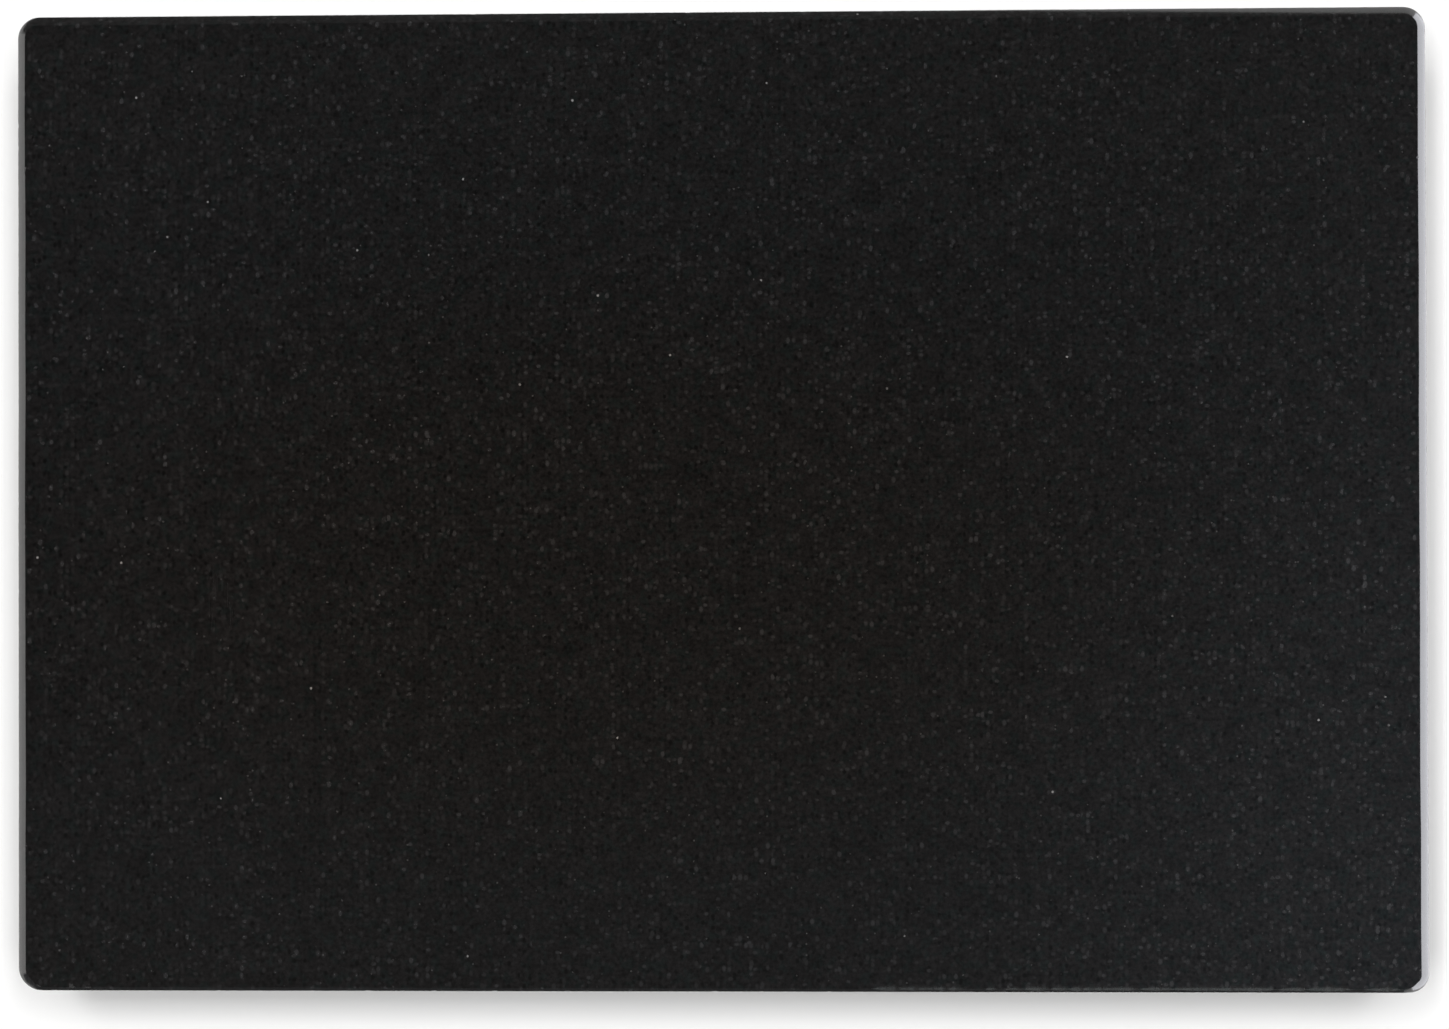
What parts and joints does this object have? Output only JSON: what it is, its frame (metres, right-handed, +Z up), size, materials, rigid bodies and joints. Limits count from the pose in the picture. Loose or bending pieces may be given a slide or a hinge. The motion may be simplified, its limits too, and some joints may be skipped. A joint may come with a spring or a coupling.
{
  "type": "granite tooling slab",
  "caption": "Flat polished black granite slab with rounded corners and bevelled edges, on rubber feet, used as a hard bed for stamping and carving leather.",
  "frame": {"origin": "middle of the slab's footprint, on the plane that the feet stand on", "axes": "+X along the slab's long side, +Y from its front to its back, +Z up through the polished working face"},
  "size_m": [0.36, 0.25, 0.0364],
  "materials": {
    "granite": "gloss",
    "foot_rubber": "matte",
    "foam_adhesive": "matte"
  },
  "bodies": {
    "root": {"granite_slab": "granite", "foot_front_left": "foot_rubber", "foot_front_right": "foot_rubber", "foot_rear_left": "foot_rubber", "foot_rear_right": "foot_rubber", "adhesive_front_left": "foam_adhesive", "adhesive_front_right": "foam_adhesive", "adhesive_rear_left": "foam_adhesive", "adhesive_rear_right": "foam_adhesive"}
  },
  "joints": []
}
